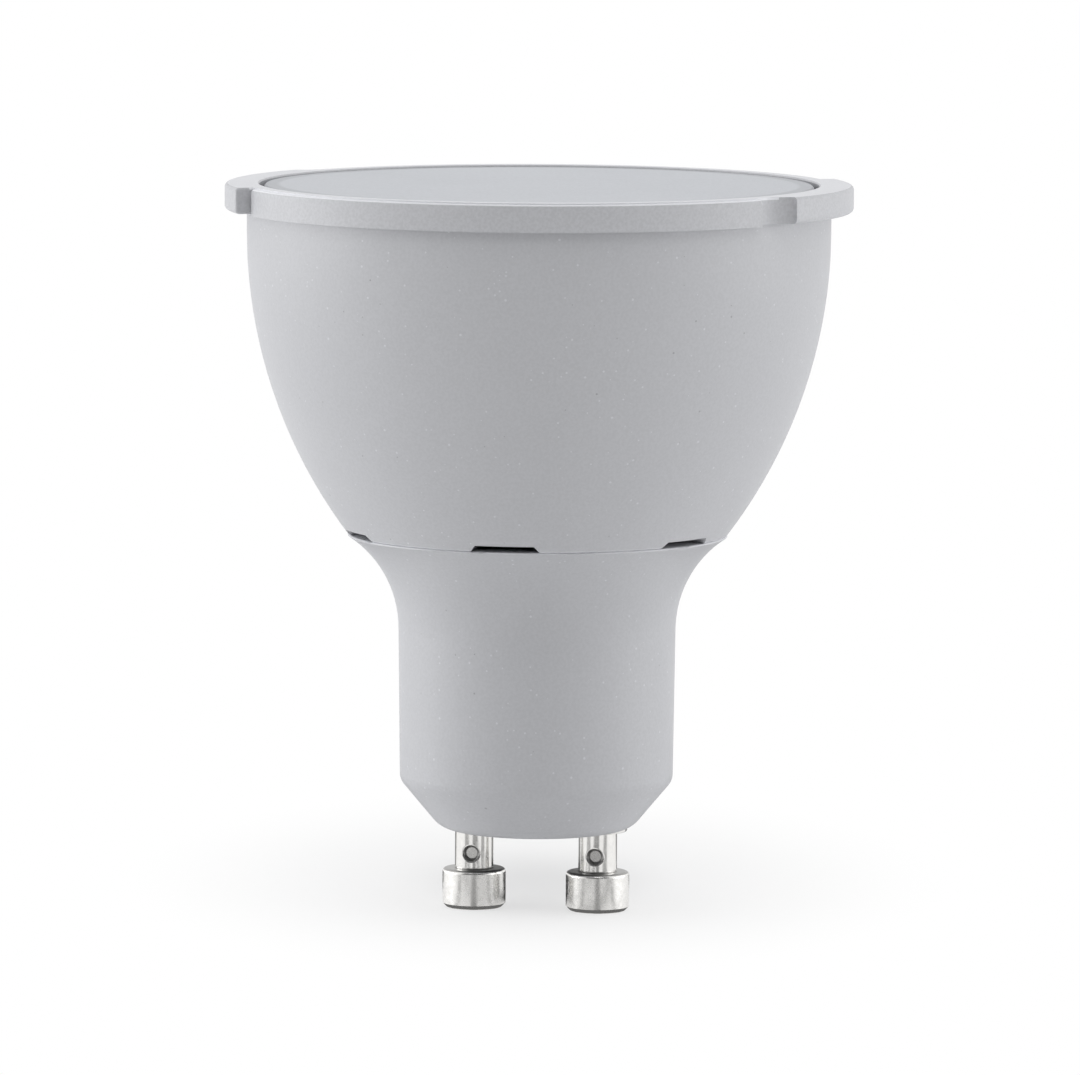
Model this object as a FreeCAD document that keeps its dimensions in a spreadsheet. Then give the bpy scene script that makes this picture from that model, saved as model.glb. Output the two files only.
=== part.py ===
import FreeCAD, Part
import math
import operator
import os
import types

import Sketcher

# A mains reflector lamp with a two-pin twist-and-lock base, in millimetres and degrees.
# +Z runs up the lamp's axis, the origin lies between the ends of the two pins, and the pins stand along X.

DRIVING_SIZES = [
    # Overall heights and the bowl
    ("lamp_height", 58.0, "pin ends to the top of the front ring"),
    ("pin_stand", 6.5, "pin ends to the underside of the base"),
    ("seam_height", 30.15, "pin ends to the joint between bowl and base"),
    ("bowl_radius", 23.15, "outside of the bowl at its rim"),
    ("seam_radius", 15.1, "outside of the bowl and the base at that joint"),
    ("bowl_straight", 1.7, "straight rim above the curved side"),
    ("bowl_wall", 1.6, "wall of the bowl"),
    ("seam_land", 2.0, "width of the joint's flat face"),
    ("bowl_collar", 3.0, "height of the bowl's bore for the base"),
    ("edge_break", 0.12, "small broken edges at the joints"),
    ("fit_gap", 0.08, "clearance between nested pieces"),
    # Vents in the bowl's lower edge
    ("vent_count", 6, "vents round the joint"),
    ("vent_width", 5.5, "vent width at the joint"),
    ("vent_height", 0.52, "vent height"),
    ("vent_slant", 0.4, "how far each end of a vent leans in"),
    # Base
    ("neck_radius", 11.03, "neck at the top of its draft"),
    ("neck_draft", 0.15, "how much thinner the neck is at its foot"),
    ("flare_radius", 9.0, "hollow curve from the neck out to the joint"),
    ("rim_land", 0.15, "straight rim below the joint"),
    ("bevel_run", 3.3, "slanted foot of the base, measured inwards"),
    ("bevel_height", 3.95, "slanted foot of the base, measured upwards"),
    ("bevel_round", 1.3, "round between neck and slanted foot"),
    ("bottom_round", 2.2, "round at the underside's edge"),
    ("base_wall", 1.6, "wall of the base"),
    ("base_floor", 2.4, "floor of the base"),
    ("collar_seat_depth", 0.6, "seat of a pin collar in the base's underside"),
    ("collar_seat_gap", 0.35, "gap round a pin collar in its seat"),
    ("spigot_wall", 1.4, "wall of the spigot that plugs into the bowl"),
    ("snap_rise", 0.2, "height of a snap bead"),
    ("snap_half", 0.35, "half the width of a snap bead"),
    # Contact pins
    ("pin_pitch", 10.0, "distance between the pin axes"),
    ("head_radius", 2.53, "pin head"),
    ("head_height", 3.15, "height of the pin head"),
    ("head_chamfer", 0.35, "chamfer at the pin's end"),
    ("head_round", 0.3, "round at the top of the head"),
    ("stem_radius", 1.54, "pin stem"),
    ("collar_radius", 2.35, "pin collar, seated in the base's underside"),
    ("collar_height", 0.75, "thickness of the pin collar"),
    ("collar_round", 0.2, "round at the collar's lower edge"),
    ("tail_radius", 1.2, "pin tail through the base's floor"),
    ("rivet_radius", 1.7, "closed end of the tail"),
    ("rivet_height", 0.6, "thickness of the closed end"),
    ("pin_bore_radius", 0.6, "bore for the supply lead"),
    ("pin_bore_floor", 3.4, "lower end of that bore"),
    ("crimp_height", 4.45, "crimp dimple above the pin's end"),
    ("crimp_radius", 0.6, "mouth of the crimp dimple"),
    ("crimp_depth", 0.5, "depth of the crimp dimple"),
    ("crimp_floor_radius", 0.45, "floor of the crimp dimple"),
    ("crimp_round", 0.2, "soft rim of the crimp dimple"),
    # Front ring and diffuser
    ("ring_proud", 0.25, "ring beyond the bowl between bands and ears"),
    ("band_proud", 0.6, "grip bands of the ring beyond the bowl"),
    ("band_lip", 0.15, "overhang of the bands below the rim"),
    ("band_step", 0.1, "band top below the ring's top"),
    ("band_gap", 0.6, "angle of the gap between a band and an ear's end"),
    ("band_corner", 0.45, "round of a band's upper corners, seen from outside"),
    ("band_round", 0.2, "round along a band's outer edge"),
    ("ear_proud", 1.76, "ears of the ring beyond the bowl"),
    ("ear_span", 53.6, "angle of an ear"),
    ("ear_round", 0.35, "round along an ear's edges"),
    ("ear_end_round", 0.2, "round at an ear's ends"),
    ("notch_span", 6.4, "angle of the scooped notch beside an ear"),
    ("notch_round", 3.0, "radius of the scoop"),
    ("opening_inset", 0.95, "front opening inside the bowl's radius"),
    ("ledge_rise", 0.97, "ledge that carries the diffuser, above the bowl's rim"),
    ("skirt_wall", 0.87, "wall of the ring's skirt"),
    ("skirt_depth", 3.0, "ring skirt inside the bowl"),
    ("lens_recess", 0.12, "diffuser's face below the ring's top"),
    ("lens_thickness", 1.0, "diffuser"),
    ("lens_gap", 0.45, "gap round the diffuser"),
    # Light engine
    ("mixing_depth", 9.4, "diffuser to the face of the light board"),
    ("light_board_thickness", 1.2, "light board"),
    ("light_board_gap", 1.0, "gap round the light board"),
    ("spreader_wall", 1.0, "heat spreader sheet"),
    ("spreader_gap", 0.3, "spreader's rim below the ring's skirt"),
    ("led_count", 10, "light sources on the board"),
    ("led_circle", 9.5, "circle of the light sources"),
    ("led_length", 3.5, "light source along the radius"),
    ("led_width", 2.8, "light source across the radius"),
    ("led_height", 0.7, "light source height"),
    ("led_window", 1.0, "radius of the light source's window"),
    ("led_window_depth", 0.15, "depth of that window"),
    ("screw_count", 3, "screws of the light board"),
    ("screw_inset", 3.0, "screws inside the light board's edge"),
    ("screw_core_radius", 0.8, "screw shank"),
    ("screw_bite", 5.0, "screw length in its column"),
    ("screw_head_radius", 1.8, "screw head"),
    ("screw_head_height", 1.2, "screw head height"),
    ("column_radius", 2.1, "screw column in the bowl"),
    ("rib_thickness", 1.2, "rib between column and bowl"),
    # Driver
    ("driver_thickness", 1.6, "driver board"),
    ("driver_lift", 1.4, "driver board above the base's floor"),
    ("driver_head_gap", 1.6, "driver board below the heat spreader"),
    ("holder_depth", 1.4, "board holder from the neck's inside"),
    ("holder_cheek", 1.1, "cheek of the board holder"),
    ("holder_height", 10.0, "board holder above the base's floor"),
    ("slot_depth", 0.9, "board edge in its holder"),
    ("part_gap", 0.1, "gap between a component and the board"),
    ("input_can_radius", 4.0, "smoothing capacitor"),
    ("input_can_length", 11.0, "length of the smoothing capacitor"),
    ("input_can_lift", 2.6, "its lower end above the driver board's foot"),
    ("output_can_radius", 3.15, "output capacitor"),
    ("output_can_length", 8.0, "length of the output capacitor"),
    ("can_round", 0.3, "rounded ends of a capacitor"),
    ("can_groove", 0.2, "depth of the crimp groove round a capacitor"),
    ("can_groove_half", 0.35, "half the width of that groove"),
    ("can_groove_rise", 1.6, "groove above the capacitor's sealed end"),
    ("can_lead_pitch", 3.5, "distance between the leads of the smoothing capacitor"),
    ("can_lead_radius", 0.3, "component leads"),
    ("can_lead_drop", 1.4, "leads below the smoothing capacitor"),
    ("choke_radius", 3.5, "flange of the choke's core"),
    ("choke_core_radius", 1.6, "middle of the choke's core"),
    ("choke_height", 7.5, "height of the choke"),
    ("choke_flange", 1.1, "flange thickness of the choke"),
    ("winding_radius", 3.0, "outside of the choke's winding at its flanges"),
    ("winding_bulge", 5.0, "curve of the winding's outside"),
    ("tall_spread", 4.7, "choke and output capacitor from the board's middle"),
    ("tall_drop", 7.9, "choke and output capacitor below the board's top"),
    ("fuse_radius", 1.5, "body of the fusible resistor"),
    ("fuse_length", 7.0, "length of the fusible resistor"),
    ("fuse_cap", 1.4, "end cap of the fusible resistor"),
    ("fuse_waist", 0.2, "how much thinner it is between its caps"),
    ("fuse_offset", 5.4, "fusible resistor from the board's middle"),
    ("fuse_rise", 4.2, "fusible resistor above the board's foot"),
    ("bridge_length", 4.7, "bridge rectifier"),
    ("bridge_width", 3.9, "bridge rectifier width"),
    ("bridge_height", 1.5, "bridge rectifier height"),
    ("bridge_lead_width", 0.6, "lead of the bridge rectifier"),
    ("bridge_lead_pitch", 2.5, "distance between its leads"),
    ("bridge_leads", 2, "leads on each side of it"),
    ("bridge_rise", 4.2, "bridge rectifier above the board's foot"),
    ("chip_length", 4.9, "driver chip"),
    ("chip_width", 3.9, "driver chip width"),
    ("chip_height", 1.5, "driver chip height"),
    ("chip_lead_width", 0.4, "lead of the driver chip"),
    ("chip_lead_pitch", 1.27, "distance between its leads"),
    ("chip_leads", 4, "leads on each side of it"),
    ("chip_rise", 12.0, "driver chip above the board's foot"),
    ("diode_length", 2.6, "flyback diode"),
    ("diode_width", 4.3, "flyback diode width"),
    ("diode_height", 2.1, "flyback diode height"),
    ("diode_lead_width", 1.5, "lead of the flyback diode"),
    ("diode_drop", 8.0, "flyback diode below the board's top"),
    ("chip_foot", 0.8, "foot length of a surface-mounted lead"),
    ("chip_lead_thickness", 0.2, "thickness of a surface-mounted lead"),
    ("resistor_count", 4, "chip resistors"),
    ("resistor_length", 3.2, "chip resistor"),
    ("resistor_width", 1.6, "chip resistor width"),
    ("resistor_height", 0.6, "chip resistor height"),
    ("resistor_pitch", 3.0, "distance between the chip resistors"),
    ("resistor_offset", 6.0, "chip resistors from the board's middle"),
    ("resistor_drop", 12.0, "lowest chip resistor below the board's top"),
    # Leads
    ("wire_radius", 0.55, "insulated lead"),
    ("wire_core_radius", 0.35, "bare end of a lead"),
    ("supply_wire_rise", 5.0, "supply lead above the board's foot"),
    ("light_wire_spread", 2.6, "light board leads from the middle"),
    ("light_wire_lap", 3.6, "light board leads along the driver board"),
    ("solder_radius", 1.0, "solder on the light board"),
    ("solder_height", 0.6, "height of that solder"),
]

XY, XZ, YZ = "XY_Plane", "XZ_Plane", "YZ_Plane"
TINY = 1e-4
Vector = FreeCAD.Vector

doc = FreeCAD.newDocument("reflector_lamp")
sheet = doc.addObject("Spreadsheet::Sheet", "Sizes")


class Size:
    """A number together with the sheet expression that gives it."""

    SIGNS = {"+": operator.add, "-": operator.sub, "*": operator.mul, "/": operator.truediv}

    def __init__(self, value, text):
        self.value = value
        self.text = text

    def join(self, sign, other):
        value = self.SIGNS[sign](self.value, other.value)
        return Size(value, f"({self.text} {sign} {other.text})")

    def __add__(self, other):
        return self.join("+", as_size(other))

    def __sub__(self, other):
        return self.join("-", as_size(other))

    def __mul__(self, other):
        return self.join("*", as_size(other))

    def __truediv__(self, other):
        return self.join("/", as_size(other))

    def __radd__(self, other):
        return as_size(other).join("+", self)

    def __rsub__(self, other):
        return as_size(other).join("-", self)

    def __rmul__(self, other):
        return as_size(other).join("*", self)

    def __neg__(self):
        return Size(-self.value, f"(-1 * {self.text})")

    def squared(self):
        return Size(self.value ** 2, f"({self.text} ^ 2)")


def as_size(amount):
    if isinstance(amount, Size):
        return amount
    return Size(amount, str(amount))


def root(amount):
    return Size(math.sqrt(amount.value), f"sqrt({amount.text})")


def cosine(angle):
    return Size(math.cos(math.radians(angle.value)), f"cos({angle.text})")


def sine(angle):
    return Size(math.sin(math.radians(angle.value)), f"sin({angle.text})")


def fill_sheet():
    """Writes the driving sizes to the sheet and gives them back as sizes by name."""
    found = {}
    for row, (name, value, note) in enumerate(DRIVING_SIZES, start=1):
        sheet.set(f"A{row}", name)
        sheet.set(f"B{row}", str(value))
        sheet.setAlias(f"B{row}", name)
        sheet.set(f"C{row}", note)
        found[name] = Size(value, f"Sizes.{name}")
    doc.recompute()
    return types.SimpleNamespace(**found)


given = fill_sheet()
ZERO = as_size(0)


# Helpers that draw sketches and add features


class Arc:
    """A round side of an outline; turn is +1 where it bends left on the way to the next corner."""

    def __init__(self, radius, turn):
        self.radius = radius
        self.turn = turn


def bind(thing, path, amount):
    thing.setExpression(path, as_size(amount).text)


def new_body(name):
    body = doc.addObject("PartDesign::Body", name)
    body.Label = name
    body.AllowCompound = True
    return body


def place(body, x=ZERO, y=ZERO, z=ZERO, rotation=None):
    if rotation:
        body.Placement = FreeCAD.Placement(Vector(), rotation)
    for axis, amount in zip("xyz", (x, y, z)):
        bind(body, f"Placement.Base.{axis}", amount)


def origin_feature(body, role):
    return [feature for feature in body.Origin.OriginFeatures if feature.Role == role][0]


def new_sketch(body, name, plane, offset=None, turn=None):
    sketch = body.newObject("Sketcher::SketchObject", f"{body.Name}_{name}")
    sketch.AttachmentSupport = [(origin_feature(body, plane), "")]
    sketch.MapMode = "FlatFace"
    if offset:
        bind(sketch, "AttachmentOffset.Base.z", offset)
    if turn:
        sketch.AttachmentOffset = FreeCAD.Placement(Vector(), FreeCAD.Rotation(Vector(0, 1, 0), turn.value))
        bind(sketch, "AttachmentOffset.Rotation.Angle", turn)
    return sketch


def hold_point(sketch, geometry, end, corner):
    """Ties one end of a sketch line to its two sizes, measured from the sketch's origin."""
    for kind, axis, amount in (("DistanceX", -2, corner[0]), ("DistanceY", -1, corner[1])):
        if amount.value == 0:
            sketch.addConstraint(Sketcher.Constraint("PointOnObject", geometry, end, axis))
        else:
            index = sketch.addConstraint(Sketcher.Constraint(kind, -1, 1, geometry, end, amount.value))
            bind(sketch, f"Constraints[{index}]", amount)


def arc_shape(start, end, arc):
    """The arc between two points, with the centre on the side that the turn gives."""
    chord = end - start
    middle = (start + end) * 0.5
    left = Vector(-chord.y, chord.x, 0).normalize()
    rise = math.sqrt(max(arc.radius.value ** 2 - (chord.Length / 2) ** 2, 0.0))
    centre = middle + left * (rise * arc.turn)
    angles = [math.atan2(point.y - centre.y, point.x - centre.x) for point in (start, end)]
    if arc.turn < 0:
        angles.reverse()
    return Part.ArcOfCircle(Part.Circle(centre, Vector(0, 0, 1), arc.radius.value), *angles)


def outline(sketch, steps):
    """Draws a closed outline through corners, with an Arc before the corner that it leads to."""
    corners = []
    arcs = {}
    for step in steps:
        if isinstance(step, Arc):
            arcs[len(corners) - 1] = step
        else:
            corners.append(tuple(as_size(amount) for amount in step))
    points = [Vector(x.value, y.value, 0) for x, y in corners]
    ends = []
    for index, start in enumerate(points):
        end = points[(index + 1) % len(points)]
        arc = arcs.get(index)
        if arc is None:
            geometry = sketch.addGeometry(Part.LineSegment(start, end))
            ends.append((geometry, 1, 2))
            continue
        geometry = sketch.addGeometry(arc_shape(start, end, arc))
        radius = sketch.addConstraint(Sketcher.Constraint("Radius", geometry, arc.radius.value))
        bind(sketch, f"Constraints[{radius}]", arc.radius)
        ends.append((geometry, 1, 2) if arc.turn > 0 else (geometry, 2, 1))
    for index, (geometry, first, last) in enumerate(ends):
        following, opening, _ = ends[(index + 1) % len(ends)]
        sketch.addConstraint(Sketcher.Constraint("Coincident", geometry, last, following, opening))
        hold_point(sketch, geometry, first, corners[index])


def rectangle(sketch, left, right, low, high):
    outline(sketch, [(left, low), (right, low), (right, high), (left, high)])


def circle(sketch, x, y, radius):
    geometry = sketch.addGeometry(Part.Circle(Vector(x.value, y.value, 0), Vector(0, 0, 1), radius.value))
    index = sketch.addConstraint(Sketcher.Constraint("Radius", geometry, radius.value))
    bind(sketch, f"Constraints[{index}]", radius)
    hold_point(sketch, geometry, 3, (x, y))


def add_feature(body, kind, name, sketch):
    feature = body.newObject(f"PartDesign::{kind}", f"{body.Name}_{name}")
    feature.Profile = sketch
    return feature


def revolve(body, name, sketch, angle=None):
    """Turns an outline about the body's axis, all round or by an angle centred on the sketch."""
    feature = add_feature(body, "Revolution", name, sketch)
    feature.ReferenceAxis = (sketch, ["V_Axis"])
    feature.Angle = 360
    if angle:
        feature.Midplane = True
        bind(feature, "Angle", angle)
    doc.recompute()
    return feature


def pad(body, name, sketch, length, reverse=False):
    feature = add_feature(body, "Pad", name, sketch)
    feature.Reversed = reverse
    bind(feature, "Length", length)
    doc.recompute()
    return feature


def check_cut(feature, before):
    doc.recompute()
    if feature.Shape.Volume >= before:
        raise RuntimeError(f"{feature.Name} cuts nothing")


def pocket(body, name, sketch, depth, reverse=False):
    before = body.Tip.Shape.Volume
    feature = add_feature(body, "Pocket", name, sketch)
    feature.Reversed = reverse
    bind(feature, "Length", depth)
    check_cut(feature, before)
    return feature


def groove(body, name, sketch):
    before = body.Tip.Shape.Volume
    feature = add_feature(body, "Groove", name, sketch)
    feature.ReferenceAxis = (sketch, ["V_Axis"])
    feature.Angle = 360
    check_cut(feature, before)
    return feature


def ring_of(body, name, originals, count):
    """Repeats features evenly round the body's axis."""
    pattern = body.newObject("PartDesign::PolarPattern", f"{body.Name}_{name}")
    pattern.Originals = originals
    pattern.Axis = (origin_feature(body, "Z_Axis"), [""])
    pattern.Angle = 360
    bind(pattern, "Occurrences", count)
    body.Tip = pattern
    doc.recompute()
    return pattern


def row_of(body, name, originals, pitch, count):
    """Repeats features along the body's X axis."""
    pattern = body.newObject("PartDesign::LinearPattern", f"{body.Name}_{name}")
    pattern.Originals = originals
    pattern.Direction = (origin_feature(body, "X_Axis"), [""])
    bind(pattern, "Length", pitch * (count - 1))
    bind(pattern, "Occurrences", count)
    body.Tip = pattern
    doc.recompute()
    return pattern


def circles_at(feature, radius, height):
    """Names of the feature's round edges of a radius about the axis, at a height."""
    names = []
    for number, edge in enumerate(feature.Shape.Edges, start=1):
        curve = edge.Curve
        if isinstance(curve, Part.Circle) and abs(curve.Radius - radius.value) < TINY:
            if abs(curve.Center.z - height.value) < TINY:
                names.append(f"Edge{number}")
    return names


def edges_where(feature, test):
    """Names of the feature's edges whose start, middle and end pass a test together."""
    names = []
    for number, edge in enumerate(feature.Shape.Edges, start=1):
        middle = edge.valueAt((edge.FirstParameter + edge.LastParameter) / 2)
        if test(edge.Vertexes[0].Point, middle, edge.Vertexes[-1].Point):
            names.append(f"Edge{number}")
    return names


def all_at_radius(points, radius):
    return all(abs(math.hypot(point.x, point.y) - radius.value) < TINY for point in points)


def all_at_height(points, height):
    return all(abs(point.z - height.value) < TINY for point in points)


def fillet(body, name, edges, radius):
    base = body.Tip
    feature = body.newObject("PartDesign::Fillet", f"{body.Name}_{name}")
    feature.Base = (base, edges)
    bind(feature, "Radius", radius)
    doc.recompute()
    return feature


# Heights and radii that several pieces share, from the pin ends up

ring_height = given.ledge_rise + given.lens_thickness + given.lens_recess
rim_height = given.lamp_height - ring_height
shoulder_height = rim_height - given.bowl_straight
ledge_height = rim_height + given.ledge_rise
light_board_top = ledge_height - given.mixing_depth
light_board_foot = light_board_top - given.light_board_thickness
spreader_foot = light_board_foot - given.spreader_wall
floor_height = given.pin_stand + given.base_floor
driver_foot = floor_height + given.driver_lift
driver_top = spreader_foot - given.driver_head_gap
bowl_inside = given.bowl_radius - given.bowl_wall
neck_foot_radius = given.neck_radius - given.neck_draft
neck_inside = neck_foot_radius - given.base_wall
bottom_radius = neck_foot_radius - given.bevel_run
opening_radius = given.bowl_radius - given.opening_inset

# The bowl's side is one arc, upright at the shoulder, that meets the joint at its radius
bowl_taper = given.bowl_radius - given.seam_radius
bowl_depth = shoulder_height - given.seam_height
bowl_curve = (bowl_taper.squared() + bowl_depth.squared()) / (2 * bowl_taper)


def bowl_radius_at(height, depth=ZERO):
    """Radius of the bowl's curved side at a height, that depth inside its outer face."""
    reach = (bowl_curve - depth).squared() - (shoulder_height - height).squared()
    return given.bowl_radius - bowl_curve + root(reach)


bore_radius = given.seam_radius - given.seam_land
spigot_radius = bore_radius - given.fit_gap
spigot_inside = spigot_radius - given.spigot_wall
spigot_height = given.bowl_collar
snap_height = spigot_height / 2
snap_curve = (given.snap_rise.squared() + given.snap_half.squared()) / (2 * given.snap_rise)
catch_half = given.snap_half + given.fit_gap
catch_curve = (given.snap_rise.squared() + catch_half.squared()) / (2 * given.snap_rise)
ring_snap_drop = given.bowl_straight / 2

spreader_outer = given.bowl_wall + given.fit_gap
spreader_inner = spreader_outer + given.spreader_wall
light_board_radius = bowl_radius_at(light_board_foot, spreader_inner) - given.light_board_gap
screw_circle = light_board_radius - given.screw_inset

# The driver board stands just behind the pins' axes, so that the leads rise straight along its face
board_face = -(given.wire_radius + given.part_gap)
board_back = board_face - given.driver_thickness
driver_half = neck_inside - given.holder_depth + given.slot_depth


def make_bowl():
    """The moulded bowl: a curved wall with a bore for the base, screw columns and vents."""
    body = new_body("bowl_housing")
    place(body, z=given.seam_height)
    top = rim_height - given.seam_height
    shoulder = shoulder_height - given.seam_height
    seat = spreader_foot - given.seam_height
    column_foot = given.bowl_collar + given.fit_gap

    column = new_sketch(body, "column_outline", XY, offset=column_foot)
    circle(column, ZERO, screw_circle, given.column_radius)
    columns = pad(body, "column", column, seat - column_foot)
    rib = new_sketch(body, "rib_outline", XY, offset=column_foot)
    rib_half = given.rib_thickness / 2
    rectangle(rib, -rib_half, rib_half, screw_circle, given.bowl_radius)
    ribs = pad(body, "rib", rib, seat - column_foot)
    ring_of(body, "columns", [columns, ribs], given.screw_count)

    # Columns and ribs end inside the wall
    middle = given.bowl_wall / 2
    outside = given.bowl_radius * 2
    trim = new_sketch(body, "trim_outline", XZ)
    outline(trim, [
        (bowl_radius_at(given.seam_height, middle), ZERO),
        (outside, ZERO),
        (outside, shoulder),
        (given.bowl_radius - middle, shoulder),
        Arc(bowl_curve - middle, -1),
    ])
    groove(body, "trim", trim)

    collar_radius = bowl_radius_at(given.seam_height + given.bowl_collar, given.bowl_wall)
    broken_radius = bowl_radius_at(given.seam_height + given.edge_break)
    catch_height = top - ring_snap_drop
    wall = new_sketch(body, "wall_outline", XZ)
    outline(wall, [
        (bore_radius, ZERO),
        (given.seam_radius - given.edge_break, ZERO),
        (broken_radius, given.edge_break),
        Arc(bowl_curve, 1),
        (given.bowl_radius, shoulder),
        (given.bowl_radius, top),
        (bowl_inside, top),
        (bowl_inside, catch_height + catch_half),
        Arc(catch_curve, -1),
        (bowl_inside, catch_height - catch_half),
        (bowl_inside, shoulder),
        Arc(bowl_curve - given.bowl_wall, -1),
        (collar_radius, given.bowl_collar),
        (bore_radius, given.bowl_collar),
        (bore_radius, snap_height + catch_half),
        Arc(catch_curve, -1),
        (bore_radius, snap_height - catch_half),
    ])
    revolve(body, "wall", wall)

    pilot = new_sketch(body, "pilot_outline", XY, offset=seat)
    circle(pilot, ZERO, screw_circle, given.screw_core_radius + given.fit_gap)
    pilots = pocket(body, "pilot", pilot, given.screw_bite + given.screw_core_radius * 2)
    ring_of(body, "pilots", [pilots], given.screw_count)

    vent = new_sketch(body, "vent_outline", XZ)
    half = given.vent_width / 2
    upper_half = half - given.vent_slant
    outline(vent, [
        (-half, ZERO),
        (half, ZERO),
        (upper_half, given.vent_height),
        (-upper_half, given.vent_height),
    ])
    vents = pocket(body, "vent", vent, given.bowl_radius, reverse=True)
    ring_of(body, "vents", [vents], given.vent_count)
    return body


def make_base():
    """The moulded base: floor for the pins, necked wall, board holders and a castellated spigot."""
    body = new_body("base_housing")
    place(body, z=given.pin_stand)
    seam = given.seam_height - given.pin_stand
    spigot_top = seam + spigot_height
    bevel_side = root(given.bevel_run.squared() + given.bevel_height.squared())
    bevel_wall = given.base_wall * bevel_side / given.bevel_height
    floor_radius = bottom_radius + given.bevel_run * given.base_floor / given.bevel_height - bevel_wall
    inner_bevel = (neck_inside + bevel_wall - bottom_radius) * given.bevel_height / given.bevel_run
    flare_run = given.seam_radius - given.neck_radius
    flare_rise = root(given.flare_radius.squared() - (given.flare_radius - flare_run).squared())
    flare_foot = seam - given.rim_land - flare_rise

    holder_low = board_back - given.part_gap - given.holder_cheek
    holder_high = board_face + given.part_gap + given.holder_cheek
    holder = new_sketch(body, "holder_outline", XY)
    rectangle(holder, neck_inside - given.holder_depth, given.neck_radius * 2, holder_low, holder_high)
    rectangle(holder, -(given.neck_radius * 2), given.holder_depth - neck_inside, holder_low, holder_high)
    pad(body, "holder", holder, given.base_floor + given.holder_height)

    # The holders end inside the floor and the wall
    outside = given.neck_radius * 3
    holder_top = (given.base_floor + given.holder_height) * 2
    middle = given.base_wall / 2
    trim = new_sketch(body, "trim_outline", XZ)
    outline(trim, [
        (ZERO, ZERO),
        (outside, ZERO),
        (outside, holder_top),
        (neck_inside + middle, holder_top),
        (neck_inside + middle, inner_bevel),
        (floor_radius, given.base_floor / 2),
        (ZERO, given.base_floor / 2),
    ])
    groove(body, "trim", trim)

    wall = new_sketch(body, "wall_outline", XZ)
    outline(wall, [
        (ZERO, ZERO),
        (bottom_radius, ZERO),
        (neck_foot_radius, given.bevel_height),
        (given.neck_radius, flare_foot),
        Arc(given.flare_radius, -1),
        (given.seam_radius, seam - given.rim_land),
        (given.seam_radius, seam),
        (spigot_radius, seam),
        (spigot_radius, seam + snap_height - given.snap_half),
        Arc(snap_curve, 1),
        (spigot_radius, seam + snap_height + given.snap_half),
        (spigot_radius, spigot_top),
        (spigot_inside, spigot_top),
        (spigot_inside, seam),
        (given.neck_radius - given.base_wall, flare_foot),
        (neck_inside, inner_bevel),
        (floor_radius, given.base_floor),
        (ZERO, given.base_floor),
    ])
    shell = revolve(body, "wall", wall)
    fillet(body, "bevel_round", circles_at(shell, neck_foot_radius, given.bevel_height), given.bevel_round)
    fillet(body, "bottom_round", circles_at(body.Tip, bottom_radius, ZERO), given.bottom_round)
    fillet(body, "rim_round", circles_at(body.Tip, given.seam_radius, seam), given.edge_break)

    slot = new_sketch(body, "board_slot_outline", XY, offset=given.base_floor + given.holder_height)
    slot_half = driver_half + given.part_gap
    rectangle(slot, -slot_half, slot_half, board_back - given.part_gap, board_face + given.part_gap)
    pocket(body, "board_slot", slot, given.holder_height - given.driver_lift)

    hole = new_sketch(body, "pin_hole_outline", XY, offset=given.base_floor)
    for side in (-1, 1):
        circle(hole, given.pin_pitch * side / 2, ZERO, given.tail_radius + given.fit_gap)
    pocket(body, "pin_holes", hole, given.base_floor)
    seat = new_sketch(body, "collar_seat_outline", XY)
    for side in (-1, 1):
        circle(seat, given.pin_pitch * side / 2, ZERO, given.collar_radius + given.collar_seat_gap)
    pocket(body, "collar_seats", seat, given.collar_seat_depth, reverse=True)

    gap = new_sketch(body, "spigot_gap_outline", XZ)
    half = given.vent_width / 2
    rectangle(gap, -half, half, seam, spigot_top + given.snap_rise)
    gaps = pocket(body, "spigot_gap", gap, given.bowl_radius, reverse=True)
    ring_of(body, "spigot_gaps", [gaps], given.vent_count)
    return body


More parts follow.
